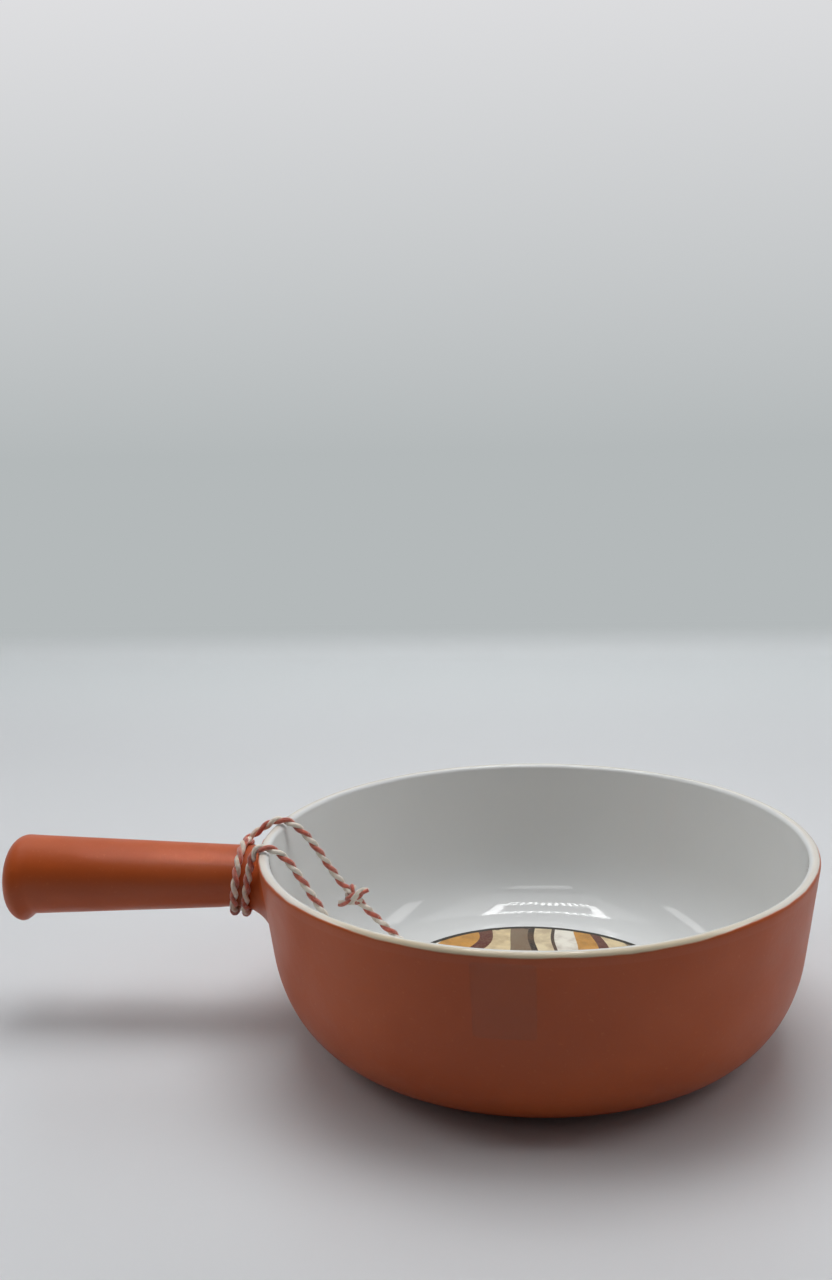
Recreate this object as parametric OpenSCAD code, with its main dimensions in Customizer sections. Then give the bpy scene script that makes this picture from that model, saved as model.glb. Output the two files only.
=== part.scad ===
// Round stoneware casserole dish with a stick handle, twine round the neck and a tied card tag.
// Millimetres. The origin is the centre of the foot on the table, +Z up, handle along -X.

/* [Bowl] */
// Outer diameter at the rim
rim_d = 180; // [150:1:230]
// Height from the table to the rim
bowl_h = 62; // [56:1:80]
// Thickness of the wall
wall_t = 3.6; // [2.8:0.1:5]
// Lean of the wall from upright, in degrees
wall_lean = 7.25; // [4:0.25:10]
// Height above the table where the straight wall turns into the belly
belly_h = 31; // [24:1:34]
// How far the belly draws in between the wall and the underside
belly_draw = 23; // [18:0.5:28]
// Thickness of the floor
base_t = 5.5; // [4:0.5:8]
// Diameter of the flat part of the floor
floor_d = 117.6; // [112:0.2:126]
// Radius on the edges of the rim
rim_round = 1.5; // [0.6:0.1:1.7]
// Height of the foot ring
foot_h = 2; // [1:0.5:4]
// Outer diameter of the foot ring
foot_d = 118; // [90:1:124]
// Width of the foot ring
foot_w = 7; // [4:0.5:12]
// Depth of the white layer that lines the bowl and covers the rim
lining_t = 0.5; // [0.3:0.1:1]

/* [Handle] */
// Length of the handle from the rim's outer edge to its tip
handle_l = 87.5; // [70:0.5:130]
// Depth of the handle's axis below the rim
handle_drop = 13; // [12:0.5:18]
// Diameter of the neck, next to the bowl
neck_d = 20; // [16:0.2:21]
// Diameter of the grip near its outer end
grip_d = 26.2; // [22:0.2:32]
// Radius that rounds the outer end
tip_round = 7; // [3:0.5:10]
// How far the lip under the outer end stands below the grip
lip_drop = 2.6; // [0.5:0.1:5]
// Length of the lip along the handle
lip_l = 10; // [8:0.5:14]
// Blend between neck and wall, at the top under the rim
blend_top = 2; // [1:0.1:3]
// Blend between neck and wall, at the underside
blend_low = 12; // [3:0.5:13]

/* [Twine] */
// Diameter of the twine
twine_d = 2.6; // [2:0.1:2.8]
// Distance along the neck from one turn to the next
wind_pitch = 3.9; // [3.4:0.1:6]
// Number of turns round the neck
wind_turns = 1.5; // [1.5:1:2.5]
// Distance from the wall to the first turn
wind_start = 4.7; // [4.5:0.1:10]
// How far the turns lean outwards below the neck
wind_lean = 2; // [0:0.1:3]
// Diameter of the knot
knot_d = 6.4; // [5:0.1:8]
// Length of the knot along the twine
knot_l = 6.4; // [5:0.1:8]
// Length of each loose tail at the knot
tail_l = 6; // [3:0.5:10]

/* [Tag] */
// Diameter of the card
tag_d = 105; // [80:1:106]
// Thickness of the card
tag_t = 0.6; // [0.4:0.1:1]
// Diameter of the punched hole
tag_hole_d = 6; // [5.6:0.1:7]
// Distance from the centre of the hole to the edge of the card
tag_margin = 6; // [5:0.1:8]

/* [Label] */
// Width of the film, along the wall
label_w = 18; // [10:1:30]
// Height of the film
label_h = 23; // [10:1:26]
// Thickness of the film
label_t = 0.15; // [0.1:0.05:0.4]
// Distance from the rim down to the film
label_drop = 3; // [2.5:0.5:10]
// Turn of the film round the bowl, from +X, in degrees
label_turn = -95; // [-130:1:-50]

/* [Hidden] */
$fn = 96;
clay = "#b4633c";
white = "#eeeae0";
cord = "#ead9c0";
card = "#e4d8b8";
film = "#c98a6a";

// Gap between pieces that lie against each other
seat_gap = 0.3;
// How far the white layer and the clay run into each other
lining_lap = 0.2;
// Steps of a rounded edge, of a belly curve, of the handle's girth and of its blend
edge_steps = 6;
belly_steps = 14;
girth_steps = 36;
blend_steps = 7;
// How far the blend stands off the wall at its edge, and its least distance from the rim
blend_edge = 0.3;
rim_clear = 1;
// How deep the handle's root runs into the wall before it is cut
root_depth = 2;

rim_r = rim_d / 2;
floor_h = foot_h + base_t;
floor_r = floor_d / 2;
foot_r = foot_d / 2;
wall_across = wall_t / cos(wall_lean);
belly_r = wall_r(belly_h);

// Outer radius of the straight wall at height z
function wall_r(z) = rim_r - (bowl_h - z) * tan(wall_lean);

// Belly curve: part of an ellipse that leaves the wall in line with it and ends level.
// sine: the sine of the angle on the ellipse where the curve leaves the wall
function belly_sine(drop, draw) = let (k = tan(wall_lean) * drop / draw) k / (1 - k);
function belly_point(r_top, z_low, drop, draw, sine, p) =
    let (centre_r = r_top - draw)
    let (half_r = draw / sqrt(1 - sine * sine))
    let (half_z = drop / (1 - sine))
    [centre_r + half_r * cos(p), z_low + half_z * (1 - sin(p))];
function belly(r_top, z_low, drop, draw) =
    let (sine = belly_sine(drop, draw))
    let (from = asin(sine))
    [for (i = [0 : belly_steps])
        let (p = from + (90 - from) * i / belly_steps)
        belly_point(r_top, z_low, drop, draw, sine, p)];

// Outer radius at any height, wall or belly
function outer_r(z) =
    let (drop = belly_h - foot_h)
    let (sine = belly_sine(drop, belly_draw))
    let (rise = 1 - (max(z, foot_h) - foot_h) * (1 - sine) / drop)
    let (half_r = belly_draw / sqrt(1 - sine * sine))
    z >= belly_h ? wall_r(z) : belly_r - belly_draw + half_r * sqrt(1 - rise * rise);

// Half-profiles of the bowl, from the wall down to the axis; deep moves the inner one into the wall
outer_profile = concat(
    belly(belly_r, foot_h, belly_h - foot_h, belly_draw),
    [[foot_r, foot_h], [foot_r, 0], [foot_r - foot_w, 0], [foot_r - foot_w, foot_h], [0, foot_h]]);
function inner_profile(deep) =
    let (r_top = belly_r - wall_across + deep)
    let (z_low = floor_h - deep)
    concat(belly(r_top, z_low, belly_h - z_low, r_top - floor_r), [[0, z_low]]);
function reversed(list) = [for (i = [len(list) - 1 : -1 : 0]) list[i]];

// The rim's two rounded edges, from outside to inside
rim_low_z = bowl_h - rim_round;
function rim_edge(centre_r, from) =
    [for (i = [0 : edge_steps])
        let (p = from + 90 * i / edge_steps)
        [centre_r + rim_round * cos(p), rim_low_z + rim_round * sin(p)]];
rim_arc = concat(
    rim_edge(wall_r(rim_low_z) - rim_round, 0),
    rim_edge(wall_r(rim_low_z) - wall_across + rim_round, 90));

module clay_body() {
    rotate_extrude()
        polygon(concat(
            [[wall_r(rim_low_z), rim_low_z]],
            outer_profile,
            reversed(inner_profile(lining_t)),
            [[wall_r(rim_low_z) - wall_across + lining_t, rim_low_z + lining_lap]]));
}

module white_lining() {
    rotate_extrude()
        polygon(concat(
            rim_arc,
            inner_profile(0),
            reversed(inner_profile(lining_t + lining_lap)),
            [[wall_r(rim_low_z) - wall_across + lining_t + lining_lap, rim_low_z]]));
}

module bowl() {
    color(clay)
        clay_body();
    color(white)
        white_lining();
}

// The bowl filled solid, which trims what is set against its outside
module bowl_block() {
    rotate_extrude()
        polygon(concat([[0, bowl_h], [wall_r(bowl_h), bowl_h]], outer_profile));
}

// Skin of rings of points, closed at both ends
module loft(rings) {
    n = len(rings[0]);
    last = len(rings) - 1;
    sides = [for (i = [0 : last - 1], j = [0 : n - 1], half = [0, 1])
        half == 0
            ? [i * n + j, i * n + (j + 1) % n, (i + 1) * n + (j + 1) % n]
            : [i * n + j, (i + 1) * n + (j + 1) % n, (i + 1) * n + j]];
    ends = [[for (j = [n - 1 : -1 : 0]) j], [for (j = [0 : n - 1]) last * n + j]];
    polyhedron([for (ring = rings) each ring], concat(sides, ends));
}

// Handle. reach: distance from the bowl's axis; turn: angle round the handle, 0 at the top, 90 at the front
handle_z = bowl_h - handle_drop;
neck_r = neck_d / 2;
tip_reach = rim_r + handle_l;
neck_reach = wall_r(handle_z) + wind_start;
grip_reach = tip_reach - lip_l;
lip_shift = lip_drop / 2;
function handle_r(reach) =
    neck_r + (grip_d / 2 - neck_r) * (reach - neck_reach) / (grip_reach - neck_reach);
// The lip sets the end of the grip down and out by the same amount, so that the top stays in line
function lip_at(reach) =
    let (u = min(1, max(0, (reach - grip_reach) / (lip_l / 2))))
    lip_shift * u * u * (3 - 2 * u);
function handle_point(reach, r, drop, turn) = [-reach, -r * sin(turn), handle_z - drop + r * cos(turn)];
function handle_ring(reach, r, drop) =
    [for (i = [0 : girth_steps - 1]) handle_point(reach, r, drop, 360 * i / girth_steps)];

// Distance of the bowl's outside from its axis, seen along the handle at one turn and radius
function wall_reach(r, turn) =
    let (side = r * sin(turn))
    let (around = outer_r(handle_z + r * cos(turn)))
    sqrt(around * around - side * side);
blend_head = min(blend_top, handle_drop - neck_r - rim_clear);
function blend_at(turn) = blend_head + (blend_low - blend_head) * (1 - cos(turn)) / 2;
// Blend: a quarter round that leaves the neck along it and meets the wall along the wall, at every turn
function blend_point(t, turn) =
    let (wide = blend_at(turn))
    let (corner = wall_reach(neck_r, turn))
    let (foot = wall_reach(neck_r + wide, turn) + blend_edge)
    let (out = 1 - cos(90 * t))
    let (reach = corner + wide * (1 - sin(90 * t)) + (foot - corner) * out)
    handle_point(reach, neck_r + wide * out, 0, turn);
// How far the blend stands out from the neck at a reach
function blend_rise(reach, turn) =
    let (wide = blend_at(turn))
    let (share = (wall_reach(neck_r, turn) + wide - reach) / wide)
    wide * (1 - sqrt(1 - pow(min(1, max(0, share)), 2)));
function root_point(turn) =
    let (r = neck_r + blend_at(turn))
    handle_point(wall_reach(r, turn) - root_depth, r, 0, turn);

// Rings of the rounded tip, of the lip's inner slope, of the grip and of the blend
tip_rings = [for (i = [0 : edge_steps])
    let (p = 90 * i / edge_steps)
    let (reach = tip_reach - tip_round * (1 - cos(p)))
    let (drop = lip_at(reach))
    handle_ring(reach, handle_r(reach) + drop - tip_round * (1 - sin(p)), drop)];
slope_start = min(tip_reach - tip_round, grip_reach + lip_l / 2);
lip_rings = [for (i = [1 : edge_steps])
    let (reach = slope_start + (grip_reach - slope_start) * i / edge_steps)
    let (drop = lip_at(reach))
    handle_ring(reach, handle_r(reach) + drop, drop)];
grip_rings = [handle_ring(neck_reach + blend_low, handle_r(neck_reach + blend_low), 0)];
blend_rings = [for (i = [0 : blend_steps])
    [for (j = [0 : girth_steps - 1]) blend_point(i / blend_steps, 360 * j / girth_steps)]];
root_ring = [for (j = [0 : girth_steps - 1]) root_point(360 * j / girth_steps)];

module handle() {
    color(clay)
        difference() {
            loft(reversed(concat(tip_rings, lip_rings, grip_rings, blend_rings, [root_ring])));
            bowl_block();
        }
}

// Twine. A tube is swept along points, with its rings square to the way it runs
twine_r = twine_d / 2;
strand_sides = 8;
wind_sides = 6;
wind_steps = 24;
// Direction that no stretch of the strands runs along, from which their rings are laid out
lay_out = [0.3, -0.6, 0.74];
function unit(v) = v / norm(v);
function heading(path, i) = unit(path[min(i + 1, len(path) - 1)] - path[max(i - 1, 0)]);
function tube_ring(centre, along, sides) =
    let (across = unit(cross(along, lay_out)))
    let (up = cross(across, along))
    [for (j = [0 : sides - 1])
        let (p = 360 * j / sides)
        centre + twine_r * (across * cos(p) + up * sin(p))];
module tube(path, sides) {
    loft([for (i = [0 : len(path) - 1]) tube_ring(path[i], heading(path, i), sides)]);
}

// Winding: starts at the neck's front, passes under it and ends at its back, both ends pointing up
wind_x = -neck_reach;
wind_from = 90;
wind_angle = 360 * wind_turns;
function wind_point(turned) =
    let (turn = wind_from + turned)
    let (x = wind_x - wind_pitch * turned / 360 - wind_lean * pow((1 - cos(turn)) / 2, 2))
    let (r = handle_r(-x) + blend_rise(-x, turn) + seat_gap + twine_r)
    [x, -r * sin(turn), handle_z + r * cos(turn)];
wind_front_rise = [0.5, 0, twine_d];
wind_back_rise = [0, 0, twine_d];
wind_count = wind_steps * wind_turns;
wind_path = concat(
    [wind_point(0) + wind_front_rise],
    [for (i = [0 : wind_count]) wind_point(wind_angle * i / wind_count)],
    [wind_point(wind_angle) + wind_back_rise]);
// Least gap of the winding to itself, over points half a turn or more apart
wind_gap = min([for (i = [0 : len(wind_path) - 1], j = [i + wind_steps / 2 : 1 : len(wind_path) - 1])
    norm(wind_path[i] - wind_path[j])]) - twine_d;
echo(str("least gap of the winding to itself: ", wind_gap, " mm"));

module twine_winding() {
    color(cord)
        tube(wind_path, wind_sides);
}

// Knot, where the two ends of the twine are tied
knot_at = [-62.6, 17, 35.6];
knot_along = unit([0.66, 0.04, -0.75]);
function on_knot(distance) = knot_at + knot_along * distance;
knot_turn = atan2(knot_along.y, knot_along.x);
knot_lean = acos(knot_along.z);

// Strand from the back of the winding over the rim to the knot
back_path = concat(
    [wind_point(wind_angle) + wind_back_rise, wind_point(wind_angle) + 2 * wind_back_rise],
    [[-98.4, 12.5, 56.6], [-96.4, 12.9, 58.4], [-93.4, 13.3, 60.5], [-90.8, 13.6, 62.3], [-88.6, 13.8, 63.4],
     [-86.4, 14, 63.7], [-84.2, 14.1, 63.3], [-81.8, 14.2, 62], [-79.2, 14.5, 59.6], [-76.6, 15, 56.3],
     [-73.6, 15.5, 51.6], [-70.9, 16, 47]],
    [on_knot(-knot_l / 2 - twine_d), on_knot(-knot_l / 2)]);

// Strand from the front of the winding over the rim, under the tag and through its hole to the knot
tag_hole_at = [-41.5, 17.5, 11];
front_path = concat(
    [wind_point(0) + wind_front_rise, wind_point(0) + 2 * wind_front_rise],
    [[-91.9, -12.1, 56.6], [-91.2, -12.8, 59.2], [-90.1, -13.4, 61.6], [-88.8, -13.8, 63.2], [-86.6, -14, 63.7],
     [-84.4, -14, 63.4], [-82.2, -14, 62.3], [-79.8, -14, 60.2], [-77.2, -14, 56.9], [-74.3, -14, 52.2],
     [-71.2, -14, 47], [-68.4, -14, 42.2], [-64.6, -14.2, 33], [-61.4, -14.4, 23], [-59.2, -14.2, 16],
     [-57.2, -13.4, 11.6], [-54.4, -11.6, 9.3], [-51.6, -8, 9.1], [-48.6, -2, 9.1], [-45.8, 4.5, 9.1],
     [-43.4, 10, 9.1], [-42.3, 13, 9.1], [-41.8, 15.2, 9.1], [-41.5, 16.7, 9.6], [-41.5, 17.5, 11],
     [-42, 18, 12.8], [-43.4, 18.3, 14.8], [-47, 18.2, 18.8], [-52.4, 17.7, 24.4]],
    [on_knot(knot_l / 2 + twine_d), on_knot(knot_l / 2)]);

module twine_back_strand() {
    color(cord)
        tube(back_path, strand_sides);
}

module twine_front_strand() {
    color(cord)
        tube(front_path, strand_sides);
}

// Knot body with flat ends as wide as the twine, and the two loose tails
tail_turns = [35, 150];
tail_lean = 70;
module twine_knot() {
    round_r = (knot_d - twine_d) / 2;
    color(cord)
        translate(knot_at)
        rotate([0, knot_lean, knot_turn]) {
            rotate_extrude()
                polygon(concat(
                    [[0, -knot_l / 2]],
                    [for (i = [0 : 2 * edge_steps]) let (p = -90 + 90 * i / edge_steps)
                        [twine_r + round_r * cos(p), knot_l / 2 * sin(p)]],
                    [[0, knot_l / 2]]));
            for (turn = tail_turns)
                rotate([0, tail_lean, turn])
                cylinder(d = twine_d, h = knot_d / 2 + tail_l);
        }
}

// Tag: a card disc whose hole side rests on the twine below it and whose far edge rests on the floor
tag_reach = tag_d - tag_margin;
tag_turn = -24;
tag_tilt = asin((tag_hole_at.z - tag_t / 2 - floor_h - seat_gap) / tag_reach);
module hang_tag() {
    color(card)
        translate(tag_hole_at)
        rotate([0, tag_tilt, tag_turn])
        difference() {
            translate([tag_d / 2 - tag_margin, 0, -tag_t / 2])
                cylinder(d = tag_d, h = tag_t);
            translate([0, 0, -tag_t])
                cylinder(d = tag_hole_d, h = 2 * tag_t);
        }
}

// Label: a square of film that follows the wall
film_gap = 0.05;
label_top = bowl_h - label_drop;
label_low = label_top - label_h;
label_sweep = label_w / wall_r(label_top) * 180 / PI;
module wall_label() {
    color(film)
        rotate([0, 0, label_turn - label_sweep / 2])
        rotate_extrude(angle = label_sweep)
        polygon([
            [wall_r(label_low) + film_gap, label_low],
            [wall_r(label_low) + film_gap + label_t, label_low],
            [wall_r(label_top) + film_gap + label_t, label_top],
            [wall_r(label_top) + film_gap, label_top]]);
}

bowl();
handle();
twine_winding();
twine_back_strand();
twine_front_strand();
twine_knot();
hang_tag();
wall_label();
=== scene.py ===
"""Round stoneware casserole dish with a stick handle, twine round its neck and a tied card tag."""

import math

import bmesh
import bpy
from mathutils import Matrix, Vector
from mathutils.geometry import interpolate_bezier


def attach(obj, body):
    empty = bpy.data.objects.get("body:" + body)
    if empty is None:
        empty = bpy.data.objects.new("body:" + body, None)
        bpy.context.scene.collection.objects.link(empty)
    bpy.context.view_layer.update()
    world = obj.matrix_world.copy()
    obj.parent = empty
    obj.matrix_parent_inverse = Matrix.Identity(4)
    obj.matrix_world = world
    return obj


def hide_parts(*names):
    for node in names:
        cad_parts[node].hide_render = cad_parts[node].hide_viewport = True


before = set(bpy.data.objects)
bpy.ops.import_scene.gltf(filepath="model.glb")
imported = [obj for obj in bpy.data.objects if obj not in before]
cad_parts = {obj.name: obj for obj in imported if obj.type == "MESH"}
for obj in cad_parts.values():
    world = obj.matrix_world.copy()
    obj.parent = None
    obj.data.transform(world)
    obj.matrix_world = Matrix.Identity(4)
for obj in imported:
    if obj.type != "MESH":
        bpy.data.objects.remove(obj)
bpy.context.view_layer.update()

MM = 0.001

# Bowl, in millimetres
RIM_R = 90.0
BOWL_H = 62.0
WALL_T = 3.6
WALL_LEAN = math.radians(7.25)
BELLY_H = 31.0
BELLY_DRAW = 23.0
FLOOR_H = 7.5
FLOOR_R = 58.8
RIM_ROUND = 1.5
FOOT_H = 2.0
FOOT_R = 59.0
FOOT_W = 7.0
FOOT_ROUND = 0.7
SPIN_STEPS = 192

# Handle
HANDLE_L = 87.5
HANDLE_Z = 49.0
NECK_R = 10.0
GRIP_R = 13.1
TIP_ROUND = 7.0
TIP_DOME = 0.7
LIP_SHIFT = 1.3
LIP_L = 10.0
BLEND_TOP = 2.0
BLEND_LOW = 12.0
GIRTH_STEPS = 72
DOME_RINGS = 4
ROUND_RINGS = 12
LIP_RINGS = 12
GRIP_RINGS = 10
BLEND_RINGS = 12
SKIRT_DEPTHS = (0.6, 1.6)

# Twine
TWINE_D = 2.6
SEAT_GAP = 0.3
WIND_START = 4.7
WIND_PITCH = 3.9
WIND_LEAN = 2.0
WIND_TURNS = 1.5
PLY_PITCH = 8.0
PLY_R = 0.84
PLY_OFFSET = 0.56
STRAND_STEP = 0.45
WIND_STEPS = 60
KNOT_SQUEEZE = 0.85
KNOT_AT = Vector((-62.6, 17, 35.6))
KNOT_ALONG = Vector((0.66, 0.04, -0.75)).normalized()
KNOT_L = 6.4

# Tag and film label
TAG_R = 52.5
TAG_T = 0.6
TAG_HOLE_R = 3.0
TAG_MARGIN = 6.0
TAG_BORDER = 2.0
TAG_EDGE = 0.12
TAG_STEPS = 96
TAG_HOLE_AT = Vector((-41.5, 17.5, 11))
TAG_TURN = math.radians(-24)
LABEL_W = 18.0
LABEL_H = 23.0
LABEL_T = 0.15
LABEL_DROP = 3.0
LABEL_CORNER = 1.2
LABEL_TURN = math.radians(-95)
FILM_GAP = 0.05
SHEET_SHARP = math.radians(40)


# Meshes


def piece(name, bm, materials, body, nodes):
    """Make a mesh in millimetres a piece in metres that rides on a body and stands for CAD nodes."""
    bmesh.ops.transform(bm, matrix=Matrix.Scale(MM, 4), verts=bm.verts)
    mesh = bpy.data.meshes.new(name)
    bm.to_mesh(mesh)
    bm.free()
    mesh.shade_smooth()
    for material in materials:
        mesh.materials.append(material)
    made = bpy.data.objects.new(name, mesh)
    bpy.context.collection.objects.link(made)
    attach(made, body)
    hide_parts(*nodes)
    return made


def wall_r(z):
    """Outer radius of the straight wall at height z."""
    return RIM_R - (BOWL_H - z) * math.tan(WALL_LEAN)


def belly_sine(drop, draw):
    """Sine of the angle on the belly's ellipse where it leaves the wall."""
    share = math.tan(WALL_LEAN) * drop / draw
    return share / (1 - share)


def belly(top_r, low_z, drop, draw, steps=26):
    """Points of a belly curve that leaves the wall in line with it and ends level."""
    sine = belly_sine(drop, draw)
    half_r = draw / math.sqrt(1 - sine * sine)
    half_z = drop / (1 - sine)
    first = math.asin(sine)
    points = []
    for i in range(steps + 1):
        p = first + (math.pi / 2 - first) * i / steps
        points.append((top_r - draw + half_r * math.cos(p), low_z + half_z * (1 - math.sin(p))))
    return points


def outer_r(z):
    """Outer radius of the bowl at any height."""
    if z >= BELLY_H:
        return wall_r(z)
    drop = BELLY_H - FOOT_H
    sine = belly_sine(drop, BELLY_DRAW)
    rise = 1 - (max(z, FOOT_H) - FOOT_H) * (1 - sine) / drop
    half_r = BELLY_DRAW / math.sqrt(1 - sine * sine)
    return wall_r(BELLY_H) - BELLY_DRAW + half_r * math.sqrt(1 - rise * rise)


def arc(centre_r, centre_z, radius, first, last, steps=8):
    """Points of a rounded edge, from one angle to another in degrees."""
    angles = [math.radians(first + (last - first) * i / steps) for i in range(steps + 1)]
    return [(centre_r + radius * math.cos(a), centre_z + radius * math.sin(a)) for a in angles]


def between(a, b, steps):
    """Points between two others, both left out."""
    return [(a[0] + (b[0] - a[0]) * i / steps, a[1] + (b[1] - a[1]) * i / steps) for i in range(1, steps)]


def bowl_profile():
    """Half-profile of the bowl: middle of its underside, foot, outside, rim, inside, middle of its floor.

    Also returns the index of the point at the rim's outer edge, where the outside glaze ends.
    """
    rim_z = BOWL_H - RIM_ROUND
    across = WALL_T / math.cos(WALL_LEAN)
    foot_in = FOOT_R - FOOT_W
    underside = [(0, FOOT_H), (foot_in * 0.5, FOOT_H), (foot_in - 1, FOOT_H), (foot_in, FOOT_H - 0.2)]
    foot = arc(foot_in + FOOT_ROUND, FOOT_ROUND, FOOT_ROUND, 180, 270, 4)
    foot += arc(FOOT_R - FOOT_ROUND, FOOT_ROUND, FOOT_ROUND, 270, 360, 4)
    outside = [(FOOT_R + 0.1, FOOT_H - 0.3), (FOOT_R + 0.6, FOOT_H)]
    outside += belly(wall_r(BELLY_H), FOOT_H, BELLY_H - FOOT_H, BELLY_DRAW)[::-1]
    edge = (wall_r(rim_z), rim_z)
    outside += between(outside[-1], edge, 12)
    rim = arc(edge[0] - RIM_ROUND, rim_z, RIM_ROUND, 0, 90)
    rim += arc(edge[0] - across + RIM_ROUND, rim_z, RIM_ROUND, 90, 180)
    top_r = wall_r(BELLY_H) - across
    inside = belly(top_r, FLOOR_H, BELLY_H - FLOOR_H, top_r - FLOOR_R)
    inside = between(rim[-1], inside[0], 12) + inside + [(FLOOR_R * 0.6, FLOOR_H), (0, FLOOR_H)]
    profile = underside + foot + outside
    return profile + rim + inside, len(profile)


def make_bowl(materials):
    """Spin the profile. Attribute run is the way along it, in millimetres, from the rim's outer edge."""
    profile, edge = bowl_profile()
    bm = bmesh.new()
    run = bm.verts.layers.float.new("run")
    verts = [bm.verts.new((r, 0, z)) for r, z in profile]
    edges = [bm.edges.new(pair) for pair in zip(verts, verts[1:])]
    for i in range(edge + 1, len(verts)):
        verts[i][run] = verts[i - 1][run] + edges[i - 1].calc_length()
    for i in range(edge - 1, -1, -1):
        verts[i][run] = verts[i + 1][run] - edges[i].calc_length()
    bmesh.ops.spin(
        bm, geom=verts + edges, cent=(0, 0, 0), axis=(0, 0, 1), angle=math.tau, steps=SPIN_STEPS, use_merge=True
    )
    bmesh.ops.remove_doubles(bm, verts=bm.verts, dist=0.001)
    bmesh.ops.recalc_face_normals(bm, faces=bm.faces)
    for face in bm.faces:
        face.material_index = int(max(vert[run] for vert in face.verts) > -0.5)
    return piece("casserole_bowl", bm, materials, "dish", ["bowl"])


# Handle: reach is the distance from the bowl's axis, turn the angle round the handle, 0 at its top
TIP_REACH = RIM_R + HANDLE_L
NECK_REACH = wall_r(HANDLE_Z) + WIND_START
GRIP_REACH = TIP_REACH - LIP_L


def handle_r(reach):
    """Radius of the tapering handle."""
    return NECK_R + (GRIP_R - NECK_R) * (reach - NECK_REACH) / (GRIP_REACH - NECK_REACH)


def lip_at(reach):
    """How far the lip sets the end of the grip down and out."""
    u = min(1, max(0, (reach - GRIP_REACH) / (LIP_L / 2)))
    return LIP_SHIFT * u * u * (3 - 2 * u)


def handle_point(reach, r, drop, turn):
    """Point on a ring of the handle."""
    return Vector((-reach, -r * math.sin(turn), HANDLE_Z - drop + r * math.cos(turn)))


def wall_reach(r, turn):
    """Distance of the bowl's outside from its axis, seen along the handle."""
    side = r * math.sin(turn)
    around = outer_r(HANDLE_Z + r * math.cos(turn))
    return math.sqrt(around * around - side * side)


def blend_at(turn):
    """Width of the blend into the wall: small at the top, larger below."""
    return BLEND_TOP + (BLEND_LOW - BLEND_TOP) * (1 - math.cos(turn)) / 2


def blend_point(t, turn):
    """Quarter round that leaves the neck along it and meets the wall along the wall."""
    wide = blend_at(turn)
    corner = wall_reach(NECK_R, turn)
    foot = wall_reach(NECK_R + wide, turn)
    out = 1 - math.cos(math.pi / 2 * t)
    reach = corner + wide * (1 - math.sin(math.pi / 2 * t)) + (foot - corner) * out
    return handle_point(reach, NECK_R + wide * out, 0, turn)


def blend_rise(reach, turn):
    """How far the blend stands out from the neck."""
    wide = blend_at(turn)
    share = min(1, max(0, (wall_reach(NECK_R, turn) + wide - reach) / wide))
    return wide * (1 - math.sqrt(1 - share * share))


def skirt_point(depth, turn):
    """Edge of the blend, carried on along the wall and into it, so that no seam shows."""
    r = NECK_R + blend_at(turn) + 0.3 + depth * (1 - math.cos(turn))
    return handle_point(wall_reach(r, turn) - 0.25 * depth, r, 0, turn)


def grip_point(reach, inset, turn):
    """Point of the grip, inset from its full radius near the rounded tip."""
    drop = lip_at(reach)
    return handle_point(reach, handle_r(reach) + drop - inset, drop, turn)


def handle_stations():
    """Functions of the turn, one for each ring from the tip to the root."""
    stations = []
    flat = handle_r(TIP_REACH) + LIP_SHIFT - TIP_ROUND
    for i in range(DOME_RINGS):
        share = i / DOME_RINGS
        r = flat * (0.15 + 0.85 * share)
        reach = TIP_REACH - TIP_DOME * share * share
        stations.append(lambda turn, reach=reach, r=r: handle_point(reach, r, LIP_SHIFT, turn))
    for i in range(ROUND_RINGS + 1):
        p = math.pi / 2 * i / ROUND_RINGS
        reach = TIP_REACH - TIP_DOME - (TIP_ROUND - TIP_DOME) * (1 - math.cos(p))
        inset = TIP_ROUND * (1 - math.sin(p))
        stations.append(lambda turn, reach=reach, inset=inset: grip_point(reach, inset, turn))
    lip_end = TIP_REACH - TIP_ROUND
    grip_end = GRIP_REACH - 2
    neck_end = NECK_REACH + BLEND_LOW
    for first, last, rings in ((lip_end, grip_end, LIP_RINGS), (grip_end, neck_end, GRIP_RINGS)):
        for i in range(1, rings + 1):
            reach = first + (last - first) * i / rings
            stations.append(lambda turn, reach=reach: grip_point(reach, 0, turn))
    for i in range(BLEND_RINGS + 1):
        stations.append(lambda turn, t=i / BLEND_RINGS: blend_point(t, turn))
    for depth in SKIRT_DEPTHS:
        stations.append(lambda turn, depth=depth: skirt_point(depth, turn))
    return stations


def make_handle(materials):
    """Extrude a ring from the tip to the root, and place each ring on its station."""
    bm = bmesh.new()
    step = bm.verts.layers.int.new("step")
    ring = bmesh.ops.create_circle(bm, segments=GIRTH_STEPS, radius=1, cap_ends=True)["verts"]
    for i, vert in enumerate(ring):
        vert[step] = i
    edges = list({edge for vert in ring for edge in vert.link_edges})
    for number, station in enumerate(handle_stations()):
        if number:
            grown = bmesh.ops.extrude_edge_only(bm, edges=edges)["geom"]
            ring = [g for g in grown if isinstance(g, bmesh.types.BMVert)]
            edges = [g for g in grown if isinstance(g, bmesh.types.BMEdge) and all(v in ring for v in g.verts)]
        for vert in ring:
            vert.co = station(math.tau * vert[step] / GIRTH_STEPS)
    bmesh.ops.recalc_face_normals(bm, faces=bm.faces)
    return piece("stick_handle", bm, materials, "dish", ["handle"])


# Twine


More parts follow.
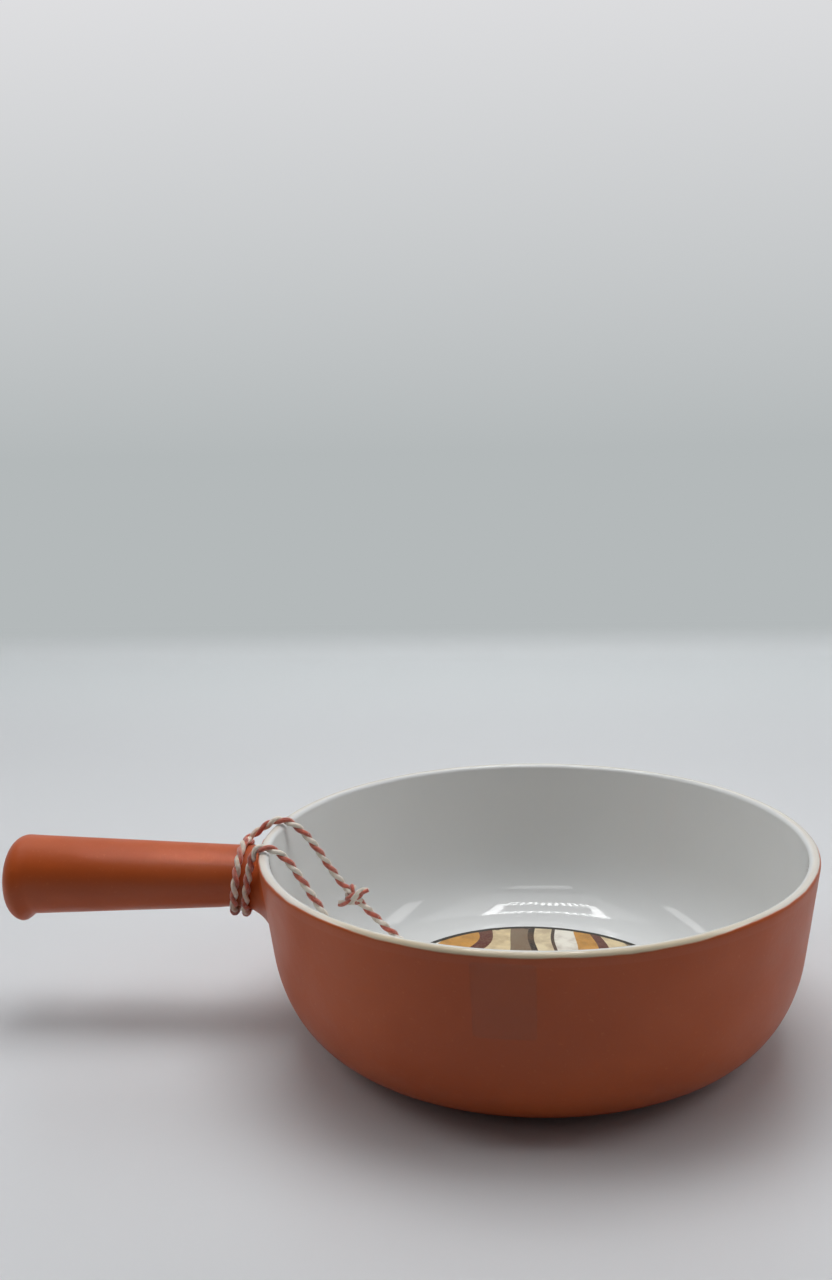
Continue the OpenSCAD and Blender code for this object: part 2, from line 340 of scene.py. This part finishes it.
def wind_point(turned):
    """Point on the winding, from the neck's front and down round it."""
    turn = math.pi / 2 + turned
    lean = WIND_LEAN * ((1 - math.cos(turn)) / 2) ** 2
    x = -NECK_REACH - WIND_PITCH * turned / math.tau - lean
    r = handle_r(-x) + blend_rise(-x, turn) + SEAT_GAP + TWINE_D / 2
    return Vector((x, -r * math.sin(turn), HANDLE_Z + r * math.cos(turn)))


def on_knot(distance):
    """Point on the knot's axis."""
    return KNOT_AT + KNOT_ALONG * distance


def smooth_route(points, step):
    """Smooth line through points, in even steps."""
    points = [Vector(p) for p in points]
    line = []
    for i in range(len(points) - 1):
        a, b = points[i], points[i + 1]
        out = (b - points[max(i - 1, 0)]) / 6
        back = (points[min(i + 2, len(points) - 1)] - a) / 6
        line += interpolate_bezier(a, a + out, b - back, b, 24)[:-1]
    line.append(points[-1])
    even, left = [line[0]], step
    for a, b in zip(line, line[1:]):
        length = (b - a).length
        while left <= length and length:
            even.append(a.lerp(b, left / length))
            left += step
        left -= length
    return even + [line[-1]] if (even[-1] - line[-1]).length > step / 4 else even


def ply_line(route, phase, squeeze):
    """Line of one ply, wound round the route."""
    line = []
    along = (route[1] - route[0]).normalized()
    across = along.orthogonal().normalized()
    run = 0.0
    for i, point in enumerate(route):
        ahead = (route[min(i + 1, len(route) - 1)] - route[max(i - 1, 0)]).normalized()
        across = (along.rotation_difference(ahead) @ across).normalized()
        along = ahead
        if i:
            run += (point - route[i - 1]).length
        angle = phase - math.tau * run / PLY_PITCH
        side = across * math.cos(angle) + along.cross(across) * math.sin(angle)
        line.append(point + side * PLY_OFFSET * squeeze)
    return line


def ply_tube(bm, line, radius, material):
    """Add a round tube along a line to a mesh."""
    curve = bpy.data.curves.new("ply", "CURVE")
    curve.dimensions = "3D"
    curve.bevel_depth = radius
    curve.bevel_resolution = 2
    curve.use_fill_caps = True
    spline = curve.splines.new("POLY")
    spline.points.add(len(line) - 1)
    for knot, point in zip(spline.points, line):
        knot.co = (*point, 1)
    holder = bpy.data.objects.new("ply", curve)
    bpy.context.collection.objects.link(holder)
    mesh = bpy.data.meshes.new_from_object(holder.evaluated_get(bpy.context.evaluated_depsgraph_get()))
    old = set(bm.faces)
    bm.from_mesh(mesh)
    for face in bm.faces:
        if face not in old:
            face.material_index = material
    bpy.data.objects.remove(holder)
    bpy.data.curves.remove(curve)
    bpy.data.meshes.remove(mesh)


def make_strand(name, routes, materials, nodes, squeeze=1.0):
    """Twist a cream and a rust ply together along each route."""
    bm = bmesh.new()
    for route in routes:
        for number in range(2):
            line = ply_line(route, math.pi * number, squeeze)
            ply_tube(bm, line, PLY_R * squeeze, number)
    return piece(name, bm, materials, "dish", nodes)


FRONT_RISE = Vector((0.5, 0, TWINE_D))
BACK_RISE = Vector((0, 0, TWINE_D))
WIND_ANGLE = math.tau * WIND_TURNS
FRONT_POINTS = [
    (-91.9, -12.1, 56.6), (-91.2, -12.8, 59.2), (-90.1, -13.4, 61.6), (-88.8, -13.8, 63.2), (-86.6, -14, 63.7),
    (-84.4, -14, 63.4), (-82.2, -14, 62.3), (-79.8, -14, 60.2), (-77.2, -14, 56.9), (-74.3, -14, 52.2),
    (-71.2, -14, 47), (-68.4, -14, 42.2), (-64.6, -14.2, 33), (-61.4, -14.4, 23), (-59.2, -14.2, 16),
    (-57.2, -13.4, 11.6), (-54.4, -11.6, 9.3), (-51.6, -8, 9.1), (-48.6, -2, 9.1), (-45.8, 4.5, 9.1),
    (-43.4, 10, 9.1), (-42.3, 13, 9.1), (-41.8, 15.2, 9.1), (-41.5, 16.7, 9.6), (-41.5, 17.5, 11),
    (-42, 18, 12.8), (-43.4, 18.3, 14.8), (-47, 18.2, 18.8), (-52.4, 17.7, 24.4),
]
BACK_POINTS = [
    (-98.4, 12.5, 56.6), (-96.4, 12.9, 58.4), (-93.4, 13.3, 60.5), (-90.8, 13.6, 62.3), (-88.6, 13.8, 63.4),
    (-86.4, 14, 63.7), (-84.2, 14.1, 63.3), (-81.8, 14.2, 62), (-79.2, 14.5, 59.6), (-76.6, 15, 56.3),
    (-73.6, 15.5, 51.6), (-70.9, 16, 47),
]
# Way of a tail through the knot: along its axis, towards the front and down to the left
KNOT_POINTS = [
    (-3.6, 0, 0), (-2.2, 0.6, 0.1), (-0.6, 0.85, 0), (1, 0.75, 0.3), (2.3, 0.2, 1.5), (2.2, -1.5, 1.5),
    (1.6, -2.1, -0.2), (1.3, -1.2, -1.8), (1, 0.7, -2), (0.7, 2.1, -0.8), (0.5, 2.2, 1), (0.1, 1.8, 2.8),
    (-0.6, 1.5, 4.2), (-1.6, 1.2, 5.6),
]


def twine_routes():
    """Smooth routes of the winding with the front strand, of the back strand, and of the knot's two ends."""
    winding = [wind_point(WIND_ANGLE * (1 - i / WIND_STEPS)) for i in range(WIND_STEPS + 1)]
    front = winding + [wind_point(0) + FRONT_RISE, wind_point(0) + 2 * FRONT_RISE, *FRONT_POINTS]
    front += [on_knot(KNOT_L / 2 + TWINE_D), on_knot(KNOT_L / 2)]
    end = wind_point(WIND_ANGLE)
    back = [end, end + BACK_RISE, end + 2 * BACK_RISE, *BACK_POINTS]
    back += [on_knot(-KNOT_L / 2 - TWINE_D), on_knot(-KNOT_L / 2)]
    fore = Vector((0, -1, 0))
    fore = (fore - KNOT_ALONG * fore.dot(KNOT_ALONG)).normalized()
    left = KNOT_ALONG.cross(fore)
    ends = []
    for way in (1, -1):
        ends.append([KNOT_AT + KNOT_ALONG * a * way + fore * u + left * w * way for a, u, w in KNOT_POINTS])
    return [smooth_route(r, STRAND_STEP) for r in (front, back, *ends)]


def make_twine(materials):
    """The twine's two strands and their knot."""
    front, back, *ends = twine_routes()
    knot = make_strand("knot", ends, materials, ["twine_knot"], squeeze=KNOT_SQUEEZE)
    for name, route, nodes in (
        ("front_strand", front, ["twine_winding", "twine_front_strand"]),
        ("back_strand", back, ["twine_back_strand"]),
    ):
        strand = make_strand(name, [route], materials, nodes)


# Tag and label


def make_tag(materials):
    """Round card with a punched hole: two rings bridged, then given their thickness."""
    bm = bmesh.new()
    centre = Matrix.Translation((TAG_R - TAG_MARGIN, 0, 0))
    bmesh.ops.create_circle(bm, segments=TAG_STEPS, radius=TAG_R, matrix=centre)
    bmesh.ops.create_circle(bm, segments=TAG_STEPS, radius=TAG_HOLE_R)
    card = bmesh.ops.bridge_loops(bm, edges=bm.edges)["faces"]
    sheet = bmesh.ops.extrude_face_region(bm, geom=card)["geom"]
    top = [g for g in sheet if isinstance(g, bmesh.types.BMVert)]
    bmesh.ops.translate(bm, vec=(0, 0, TAG_T), verts=top)
    bmesh.ops.recalc_face_normals(bm, faces=bm.faces)
    rims = [e for e in bm.edges if e.is_manifold and e.calc_face_angle() > 1]
    bmesh.ops.bevel(
        bm, geom=rims, offset=TAG_EDGE, affect="EDGES", segments=2, profile=0.5, material=-1, offset_type="OFFSET"
    )
    tilt = math.asin((TAG_HOLE_AT.z - TAG_T / 2 - FLOOR_H - SEAT_GAP) / (2 * TAG_R - TAG_MARGIN))
    place = Matrix.Translation(TAG_HOLE_AT) @ Matrix.Rotation(TAG_TURN, 4, "Z") @ Matrix.Rotation(tilt, 4, "Y")
    place = place @ Matrix.Translation((0, 0, -TAG_T / 2))
    bmesh.ops.transform(bm, matrix=place, verts=bm.verts)
    made = piece("card_tag", bm, materials, "tag", ["hang_tag"])
    made.data.set_sharp_from_angle(angle=SHEET_SHARP)
    return made


def make_label(materials):
    """Bare film with rounded corners, spun round the wall."""
    top = BOWL_H - LABEL_DROP
    low = top - LABEL_H
    sweep = LABEL_W / wall_r(top)
    bm = bmesh.new()
    ends = [bm.verts.new((wall_r(z) + FILM_GAP, 0, z)) for z in (low, top)]
    bmesh.ops.subdivide_edges(bm, edges=[bm.edges.new(ends)], cuts=10)
    bmesh.ops.spin(
        bm, geom=bm.verts[:] + bm.edges[:], cent=(0, 0, 0), axis=(0, 0, 1), angle=sweep, steps=12, use_merge=False
    )
    corners = [v for v in bm.verts if len(v.link_faces) == 1]
    bmesh.ops.bevel(
        bm,
        geom=corners,
        offset=LABEL_CORNER,
        affect="VERTICES",
        segments=4,
        profile=0.5,
        material=-1,
        offset_type="OFFSET",
    )
    bmesh.ops.rotate(bm, cent=(0, 0, 0), matrix=Matrix.Rotation(LABEL_TURN - sweep / 2, 3, "Z"), verts=bm.verts)
    bmesh.ops.recalc_face_normals(bm, faces=bm.faces)
    bmesh.ops.solidify(bm, geom=list(bm.faces), thickness=-LABEL_T)
    made = piece("film_label", bm, materials, "dish", ["wall_label"])
    made.data.set_sharp_from_angle(angle=SHEET_SHARP)
    return made


# Materials


class Nodes:
    """The nodes of a material, a lamp or the world."""

    def __init__(self, owner):
        owner.use_nodes = True
        self.tree = owner.node_tree

    def node(self, kind, inputs=None, **settings):
        """Add a node; an input is a value or another node's output."""
        made = self.tree.nodes.new("ShaderNode" + kind)
        for name, value in settings.items():
            setattr(made, name, value)
        for name, value in (inputs or {}).items():
            self.put(made.inputs[name], value)
        return made

    def put(self, socket, value):
        """Set or link an input."""
        if isinstance(value, bpy.types.NodeSocket):
            self.tree.links.new(value, socket)
        else:
            socket.default_value = value

    def math(self, operation, a, b=0.0):
        """Result of an operation on two values."""
        made = self.node("Math", operation=operation)
        self.put(made.inputs[0], a)
        self.put(made.inputs[1], b)
        return made.outputs[0]

    def axis(self, at, name):
        """One part of a vector."""
        return self.node("SeparateXYZ", {"Vector": at}).outputs[name]


class Finish(Nodes):
    """A material."""

    def __init__(self, name):
        self.material = bpy.data.materials.new(name)
        super().__init__(self.material)
        self.shader = self.tree.nodes["Principled BSDF"]

    def set(self, **inputs):
        """Set or link the shader's inputs."""
        for name, value in inputs.items():
            self.put(self.shader.inputs[name.replace("_", " ")], value)

    def place(self):
        """Object coordinates."""
        return self.node("TexCoord").outputs["Object"]

    def noise(self, at, scale, detail):
        """Noise between 0 and 1."""
        return self.node("TexNoise", {"Vector": at, "Scale": scale, "Detail": detail}).outputs["Fac"]

    def ramp(self, value, low, high, to_low=0.0, to_high=1.0):
        """Value spread smoothly from one range to another."""
        inputs = {"Value": value, "From Min": low, "From Max": high, "To Min": to_low, "To Max": to_high}
        return self.node("MapRange", inputs, interpolation_type="SMOOTHSTEP").outputs["Result"]

    def mix(self, share, a, b):
        """Colour between two others."""
        made = self.node("Mix", data_type="RGBA")
        for number, value in ((0, share), (6, a), (7, b)):
            self.put(made.inputs[number], value)
        return made.outputs[2]

    def blend(self, share, a, b):
        """Value between two others."""
        return self.node("Mix", {"Factor": share, "A": a, "B": b}).outputs[0]

    def bump(self, height, distance):
        """Normal of a relief, distance in metres."""
        return self.node("Bump", {"Height": height, "Distance": distance, "Strength": 1.0}).outputs["Normal"]


def linear(red, green, blue):
    """Colour from its 0 to 255 screen values."""
    parts = [c / 255 for c in (red, green, blue)]
    return (*[c / 12.92 if c <= 0.04045 else ((c + 0.055) / 1.055) ** 2.4 for c in parts], 1.0)


CLAY_TONE = linear(191, 88, 37)
CLAY_DARK = linear(182, 81, 32)
CLAY_PALE = linear(204, 110, 60)
CLAY_SHINE = 0.4
GLAZE_WHITE = linear(224, 226, 226)
GLAZE_GREY = linear(219, 221, 221)
RIM_CREAM = linear(214, 199, 172)
RIM_PALE = linear(218, 212, 202)
BARE_CLAY = linear(205, 188, 162)
# Relief and the heights where the foot is worn, in metres
CLAY_RELIEF = 0.00005
FOOT_WEAR = (0.0004, 0.0001)
# Where the white glaze starts and where its cream edge ends, in millimetres from the rim's outer edge
GLAZE_EDGE = (1.3, 1.9)
CREAM_EDGE = (2.8, 4.6)
# How far the glaze's edge sags at the front, in millimetres, and where sag and cream set in, in metres along Y
SAG = 0.9
SAG_SPAN = (-0.068, -0.086)
CREAM_SPAN = (-0.05, -0.086)
# Tone, shade and neck tone of each ply, and where the neck tone ends, in metres along X. The neck tone is painted
# bounce light: the warm glow the terracotta throws on the plies wound round the handle
CREAM_PLY = (linear(254, 244, 230), linear(250, 238, 222), linear(255, 228, 200))
RUST_PLY = (linear(226, 118, 90), linear(198, 90, 68), linear(232, 126, 96))
NECK_BOUNCE_SPAN = (-0.094, -0.088)
FILM_TONES = (linear(124, 120, 116), linear(134, 130, 126))
FILM_ALPHA = 0.05
PRINT_DOTS = (linear(214, 160, 76), linear(240, 232, 210))
PRINT_RING = linear(70, 44, 34)
PRINT_BROWN = linear(120, 84, 56)
PRINT_DARK = linear(26, 22, 20)
PRINT_PALE = linear(240, 232, 214)
# Where each band of the print starts, and its colour
PRINT_BANDS = [
    (0.0, linear(228, 212, 176)),
    (0.17, linear(60, 46, 38)),
    (0.2, linear(238, 234, 222)),
    (0.36, linear(206, 150, 68)),
    (0.5, linear(94, 40, 34)),
    (0.58, linear(226, 206, 164)),
    (0.74, linear(130, 112, 92)),
    (0.93, linear(48, 38, 32)),
]


def clay_glaze(finish, at):
    """Colour, roughness and relief of the satin terracotta glaze."""
    cloud = finish.noise(at, 22, 4)
    tone = finish.mix(finish.ramp(cloud, 0.35, 0.7), CLAY_DARK, CLAY_TONE)
    grain = finish.noise(at, 900, 2)
    tone = finish.mix(finish.ramp(grain, 0.62, 0.78, 0, 0.35), tone, CLAY_PALE)
    pits = finish.noise(at, 1500, 1)
    tone = finish.mix(finish.ramp(pits, 0.68, 0.8, 0, 0.3), tone, CLAY_DARK)
    rough = finish.ramp(finish.noise(at, 60, 3), 0.3, 0.7, 0.38, 0.46)
    wander = finish.math("MULTIPLY", finish.noise(at, 45, 2), 3.0)
    return tone, rough, finish.math("ADD", finish.noise(at, 420, 2), wander)


def clay_finish():
    """Terracotta glaze, and bare clay where the foot stands on the table."""
    finish = Finish("terracotta_glaze")
    at = finish.place()
    tone, rough, relief = clay_glaze(finish, at)
    bare = finish.ramp(finish.axis(at, "Z"), *FOOT_WEAR)
    finish.set(
        Base_Color=finish.mix(bare, tone, BARE_CLAY),
        Roughness=finish.blend(bare, rough, 0.75),
        Normal=finish.bump(relief, CLAY_RELIEF),
        Specular_IOR_Level=CLAY_SHINE,
    )
    return finish.material


def lining_finish():
    """Glossy white glaze that turns cream over the rim and ends in a wandering line, lower at the front."""
    finish = Finish("white_glaze")
    at = finish.place()
    tone, rough, relief = clay_glaze(finish, at)
    run = finish.node("Attribute", attribute_name="run").outputs["Fac"]
    depth = finish.axis(at, "Y")
    sag = finish.ramp(depth, *SAG_SPAN, 0.0, SAG)
    line = finish.math("ADD", run, finish.math("MULTIPLY", finish.noise(at, 90, 2), 0.8))
    line = finish.math("ADD", line, sag)
    glazed = finish.ramp(line, *GLAZE_EDGE)
    white = finish.mix(finish.noise(at, 30, 3), GLAZE_GREY, GLAZE_WHITE)
    cream = finish.mix(finish.ramp(depth, *CREAM_SPAN), RIM_PALE, RIM_CREAM)
    lining = finish.mix(finish.ramp(line, *CREAM_EDGE), cream, white)
    gloss = finish.ramp(finish.noise(at, 50, 2), 0.3, 0.7, 0.025, 0.045)
    relief = finish.math("MULTIPLY", relief, finish.ramp(line, *GLAZE_EDGE, 1.0, 0.06))
    finish.set(
        Base_Color=finish.mix(glazed, tone, lining),
        Roughness=finish.blend(glazed, rough, gloss),
        Normal=finish.bump(relief, CLAY_RELIEF),
    )
    return finish.material


def cotton_finish(name, tone, shade, neck):
    """Spun cotton: fibres that run slanting round the ply, a soft sheen, and a warmer tone round the neck, which is
    painted bounce light from the terracotta.
    """
    finish = Finish(name)
    at = finish.place()
    # Painted bounce light: the ply turns warmer where it winds round the terracotta neck
    tone = finish.mix(finish.ramp(finish.axis(at, "X"), *NECK_BOUNCE_SPAN), neck, tone)
    thread = finish.node("UVMap").outputs["UV"]
    turned = finish.node("Mapping", {"Vector": thread, "Scale": (3.0, 220.0, 1.0)}).outputs["Vector"]
    slant = {"Vector": turned, "Scale": 1.0, "Distortion": 2.0, "Detail": 2.0}
    fibres = finish.node("TexWave", slant, bands_direction="DIAGONAL").outputs["Fac"]
    blotch = finish.noise(at, 700, 3)
    colour = finish.mix(finish.ramp(blotch, 0.3, 0.7), shade, tone)
    colour = finish.mix(finish.ramp(fibres, 0.0, 0.4, 0.35, 0.0), colour, shade)
    rough = finish.ramp(fibres, 0, 1, 0.75, 0.9)
    relief = finish.math("ADD", fibres, finish.noise(at, 4000, 2))
    finish.set(Base_Color=colour, Roughness=rough, Normal=finish.bump(relief, 0.00004), Sheen_Weight=0.8)
    return finish.material


def card_finish():
    """Generic print of warm wavy bands and dots on satin card, with a dark border."""
    finish = Finish("printed_card")
    at = finish.place()
    centre = TAG_HOLE_AT + Matrix.Rotation(TAG_TURN, 3, "Z") @ Vector((TAG_R - TAG_MARGIN, 0, 0))
    shift = {"Vector": at, "Location": (-centre.x * MM, -centre.y * MM, 0)}
    middle = finish.node("Mapping", shift).outputs["Vector"]
    flat = finish.node("CombineXYZ", {"X": finish.axis(middle, "X"), "Y": finish.axis(middle, "Y")}).outputs["Vector"]
    waves = {"Vector": flat, "Scale": 7.0, "Distortion": 5.0, "Detail": 2.0, "Detail Scale": 1.4, "Phase Offset": 1.0}
    bands = finish.node("TexWave", waves, bands_direction="X", wave_profile="SAW").outputs["Fac"]
    tones = finish.node("ValToRGB", {"Fac": bands})
    stops = tones.color_ramp.elements
    tones.color_ramp.interpolation = "CONSTANT"
    while len(stops) < len(PRINT_BANDS):
        stops.new(0.5)
    for stop, (where, colour) in zip(stops, PRINT_BANDS):
        stop.position = where
        stop.color = colour
    shade = finish.ramp(finish.noise(flat, 160, 3), 0.35, 0.7, 0.0, 0.4)
    tone = finish.mix(shade, tones.outputs["Color"], PRINT_BROWN)
    cells = finish.node("TexVoronoi", {"Vector": flat, "Scale": 105.0, "Randomness": 0.8}, feature="F1")
    pick = finish.node("SeparateColor", {"Color": cells.outputs["Color"]}).outputs["Red"]
    spot = finish.mix(finish.ramp(pick, 0.45, 0.55), *PRINT_DOTS)
    ring = finish.ramp(cells.outputs["Distance"], 0.34, 0.3)
    tone = finish.mix(ring, tone, PRINT_RING)
    tone = finish.mix(finish.ramp(cells.outputs["Distance"], 0.28, 0.25), tone, spot)
    away = finish.node("VectorMath", {0: flat}, operation="LENGTH").outputs["Value"]
    border = finish.ramp(away, (TAG_R - TAG_BORDER) * MM, (TAG_R - TAG_BORDER + 0.3) * MM)
    tone = finish.mix(border, tone, PRINT_DARK)
    fibre = finish.noise(at, 1800, 2)
    tone = finish.mix(finish.ramp(fibre, 0.4, 0.6, 0, 0.08), tone, PRINT_PALE)
    finish.set(
        Base_Color=tone,
        Roughness=finish.ramp(fibre, 0.3, 0.7, 0.45, 0.55),
        Normal=finish.bump(fibre, 0.00002),
        Specular_IOR_Level=0.25,
    )
    return finish.material


def film_finish():
    """Clear film that dulls the glaze below it a little."""
    finish = Finish("clear_film")
    at = finish.place()
    ripple = finish.noise(at, 160, 2)
    patch = finish.ramp(ripple, 0.3, 0.7)
    finish.set(
        Base_Color=finish.mix(patch, *FILM_TONES),
        Roughness=finish.ramp(ripple, 0.3, 0.7, 0.14, 0.22),
        Alpha=FILM_ALPHA,
        Normal=finish.bump(ripple, 0.00004),
    )
    return finish.material


# Stage, light and camera, in millimetres, watts and degrees

TABLE_W = 4400.0
TABLE_FRONT = -1500.0
TABLE_BACK = 560.0
SWEEP_R = 60.0
BACKDROP_H = 750.0
TABLE_TONES = (linear(214, 216, 219), linear(218, 220, 223))
# Table colour towards the backdrop: painted light that makes up for the shade of the cove
TABLE_BACK_PAINTED_LIGHT = linear(234, 238, 240)
# Painted light of the backdrop: its glow, low and high
BACKDROP_GLOW_TONES = (linear(180, 185, 186), linear(224, 224, 226))
ROOM_TONE = linear(246, 248, 250)
ROOM_LIGHT = 0.03
ROOM_SEEN = 0.6
# Name, place, point it faces, width, depth, power, whether glazes reflect it
SOFT_LAMPS = [
    ("ceiling", (0, 500, 2000), (0, 300, 0), 1500, 1100, 8.4, False),
    ("top", (0, 60, 900), (0, 0, 0), 700, 700, 1.85, True),
    ("top_near", (0, 150, 600), (0, 0, 0), 400, 400, 1.05, False),
    ("high_left", (-800, 0, 800), (0, 0, 30), 500, 500, 1.8, False),
    ("low_left", (-1100, -100, 350), (0, 0, 30), 700, 600, 1.1, False),
    ("high_right", (800, 0, 800), (0, 0, 30), 500, 500, 1.8, False),
    ("low_right", (1100, -100, 350), (0, 0, 30), 700, 600, 1.1, False),
]
LAMP_H = 420.0
DOT_SHARE = 0.5
# Name, start, end, width, brightness, number of dots or 0 for a solid strip
STRIPS = [
    ("lamp_left", (-86, 71), (-55, 238), 14, 9.0, 0),
    ("lamp_right", (48, 61), (33, 232), 14, 9.0, 0),
    ("lamp_front", (-82, 66), (44, 58), 45, 12.0, 13),
    ("lamp_back", (-52, 215), (30, 209), 50, 12.0, 11),
    ("lamp_fore", (-105, -190), (70, -182), 60, 2.4, 0),
    ("bar_left", (-368, 40), (-312, 285), 80, 2.6, 0),
    ("bar_right", (350, 0), (245, 225), 90, 2.6, 0),
]
NECK_SPOT = ("neck_spot", (-265, -40, LAMP_H), (-104, -8, 60), 50, 50, 0.0065)
SPOT_SPREAD = 10.0
CAMERA_AT = (4.957, -436.159, 215.501)
CAMERA_TURN = 5.5
CAMERA_DOWN = 11.197
CAMERA_ROLL = -1.523
CAMERA_LENS = 39.375


def make_stage():
    """Pale table that curves up into a backdrop. The table is painted lighter towards the back, and the backdrop
    glows with painted light, darker low and lighter high.
    """
    bm = bmesh.new()
    line = [(TABLE_FRONT, 0), (TABLE_BACK, 0)] + arc(TABLE_BACK, SWEEP_R, SWEEP_R, -90, 0, 10)
    line.append((TABLE_BACK + SWEEP_R, BACKDROP_H))
    verts = [bm.verts.new((-TABLE_W / 2, y, z)) for y, z in line]
    edges = [bm.edges.new(pair) for pair in zip(verts, verts[1:])]
    grown = bmesh.ops.extrude_edge_only(bm, edges=edges)["geom"]
    far = [g for g in grown if isinstance(g, bmesh.types.BMVert)]
    bmesh.ops.translate(bm, vec=(TABLE_W, 0, 0), verts=far)
    bmesh.ops.remove_doubles(bm, verts=bm.verts, dist=0.01)
    bmesh.ops.transform(bm, matrix=Matrix.Scale(MM, 4), verts=bm.verts)
    mesh = bpy.data.meshes.new("table_sweep")
    bm.to_mesh(mesh)
    bm.free()
    mesh.shade_smooth()
    finish = Finish("pale_table")
    at = finish.place()
    height = finish.axis(at, "Z")
    table = finish.mix(finish.noise(at, 6, 2), *TABLE_TONES)
    # Painted light: the table turns lighter towards the backdrop
    table = finish.mix(finish.ramp(finish.axis(at, "Y"), 0.3, TABLE_BACK * MM), table, TABLE_BACK_PAINTED_LIGHT)
    finish.set(Base_Color=table, Roughness=0.35)
    # Painted light: above the table the sweep glows for the camera and in reflections, darker low and lighter high,
    # instead of being lit by the lamps
    rise = finish.node("MapRange", {"Value": height, "From Min": 0.15, "From Max": 0.5}).outputs["Result"]
    wall = finish.node("Emission", {"Color": finish.mix(rise, *BACKDROP_GLOW_TONES)})
    ray = finish.node("LightPath")
    seen = finish.math("MAXIMUM", ray.outputs["Is Camera Ray"], ray.outputs["Is Glossy Ray"])
    share = finish.math("MULTIPLY", seen, finish.ramp(height, 0.0005, 0.02))
    both = finish.node("MixShader", {0: share, 1: finish.shader.outputs["BSDF"], 2: wall.outputs["Emission"]})
    finish.put(finish.tree.nodes["Material Output"].inputs["Surface"], both.outputs["Shader"])
    mesh.materials.append(finish.material)
    stage = bpy.data.objects.new("table_sweep", mesh)
    bpy.context.collection.objects.link(stage)


def add_lamp(name, at, aim, width, depth, power, glossy=True):
    """Rectangular lamp that faces a point and stays out of the picture."""
    lamp = bpy.data.lights.new(name, "AREA")
    lamp.shape = "RECTANGLE"
    lamp.size = width * MM
    lamp.size_y = depth * MM
    lamp.energy = power
    holder = bpy.data.objects.new(name, lamp)
    holder.location = Vector(at) * MM
    holder.rotation_euler = (Vector(aim) - Vector(at)).to_track_quat("-Z", "Y").to_euler()
    holder.visible_camera = False
    holder.visible_glossy = glossy
    bpy.context.collection.objects.link(holder)
    return holder


def add_strip(name, start, end, width, level, dots):
    """Thin lamp above the dish that only its glaze reflects, solid or broken into dots."""
    middle = (start + end) / 2
    at = (middle.x, middle.y, LAMP_H)
    run = end - start
    power = level * math.pi * run.length * width * MM * MM
    strip = add_lamp(name, at, (middle.x, middle.y, 0), run.length, width, power)
    strip.rotation_euler = (0, 0, math.atan2(run.y, run.x))
    strip.visible_diffuse = False
    if not dots:
        return
    nodes = Nodes(strip.data)
    along = nodes.axis(nodes.node("NewGeometry").outputs["Parametric"], "X")
    part = nodes.math("FRACT", nodes.math("MULTIPLY", along, dots))
    nodes.put(nodes.tree.nodes["Emission"].inputs["Strength"], nodes.math("LESS_THAN", part, DOT_SHARE))


def light_scene():
    """Soft light from above and both sides, and thin lamps and a spot that only show as reflections."""
    world = bpy.data.worlds.new("studio")
    nodes = Nodes(world)
    room = nodes.tree.nodes["Background"]
    seen = nodes.node("LightPath").outputs["Is Camera Ray"]
    level = nodes.node("MapRange", {"Value": seen, "To Min": ROOM_LIGHT, "To Max": ROOM_SEEN}).outputs["Result"]
    nodes.put(room.inputs["Color"], ROOM_TONE)
    nodes.put(room.inputs["Strength"], level)
    bpy.context.scene.world = world
    for lamp in SOFT_LAMPS:
        add_lamp(*lamp)
    for name, start, end, width, level, dots in STRIPS:
        add_strip(name, Vector(start), Vector(end), width, level, dots)
    spot = add_lamp(*NECK_SPOT)
    spot.data.spread = math.radians(SPOT_SPREAD)
    spot.visible_diffuse = False


def make_camera():
    """Camera at the photograph's place and angle."""
    data = bpy.data.cameras.new("camera")
    data.sensor_width = 36
    data.lens = CAMERA_LENS
    camera = bpy.data.objects.new("camera", data)
    turn = Matrix.Rotation(math.radians(CAMERA_TURN), 4, "Z")
    pitch = Matrix.Rotation(math.radians(90 - CAMERA_DOWN), 4, "X")
    roll = Matrix.Rotation(math.radians(CAMERA_ROLL), 4, "Z")
    camera.matrix_world = Matrix.Translation(Vector(CAMERA_AT) * MM) @ turn @ pitch @ roll
    bpy.context.collection.objects.link(camera)
    bpy.context.scene.camera = camera


make_camera()
make_twine([cotton_finish("cream_cotton", *CREAM_PLY), cotton_finish("rust_cotton", *RUST_PLY)])
clay = clay_finish()
make_bowl([clay, lining_finish()])
make_handle([clay])
make_tag([card_finish()])
make_label([film_finish()])
make_stage()
light_scene()
bpy.context.scene.view_settings.view_transform = "Standard"
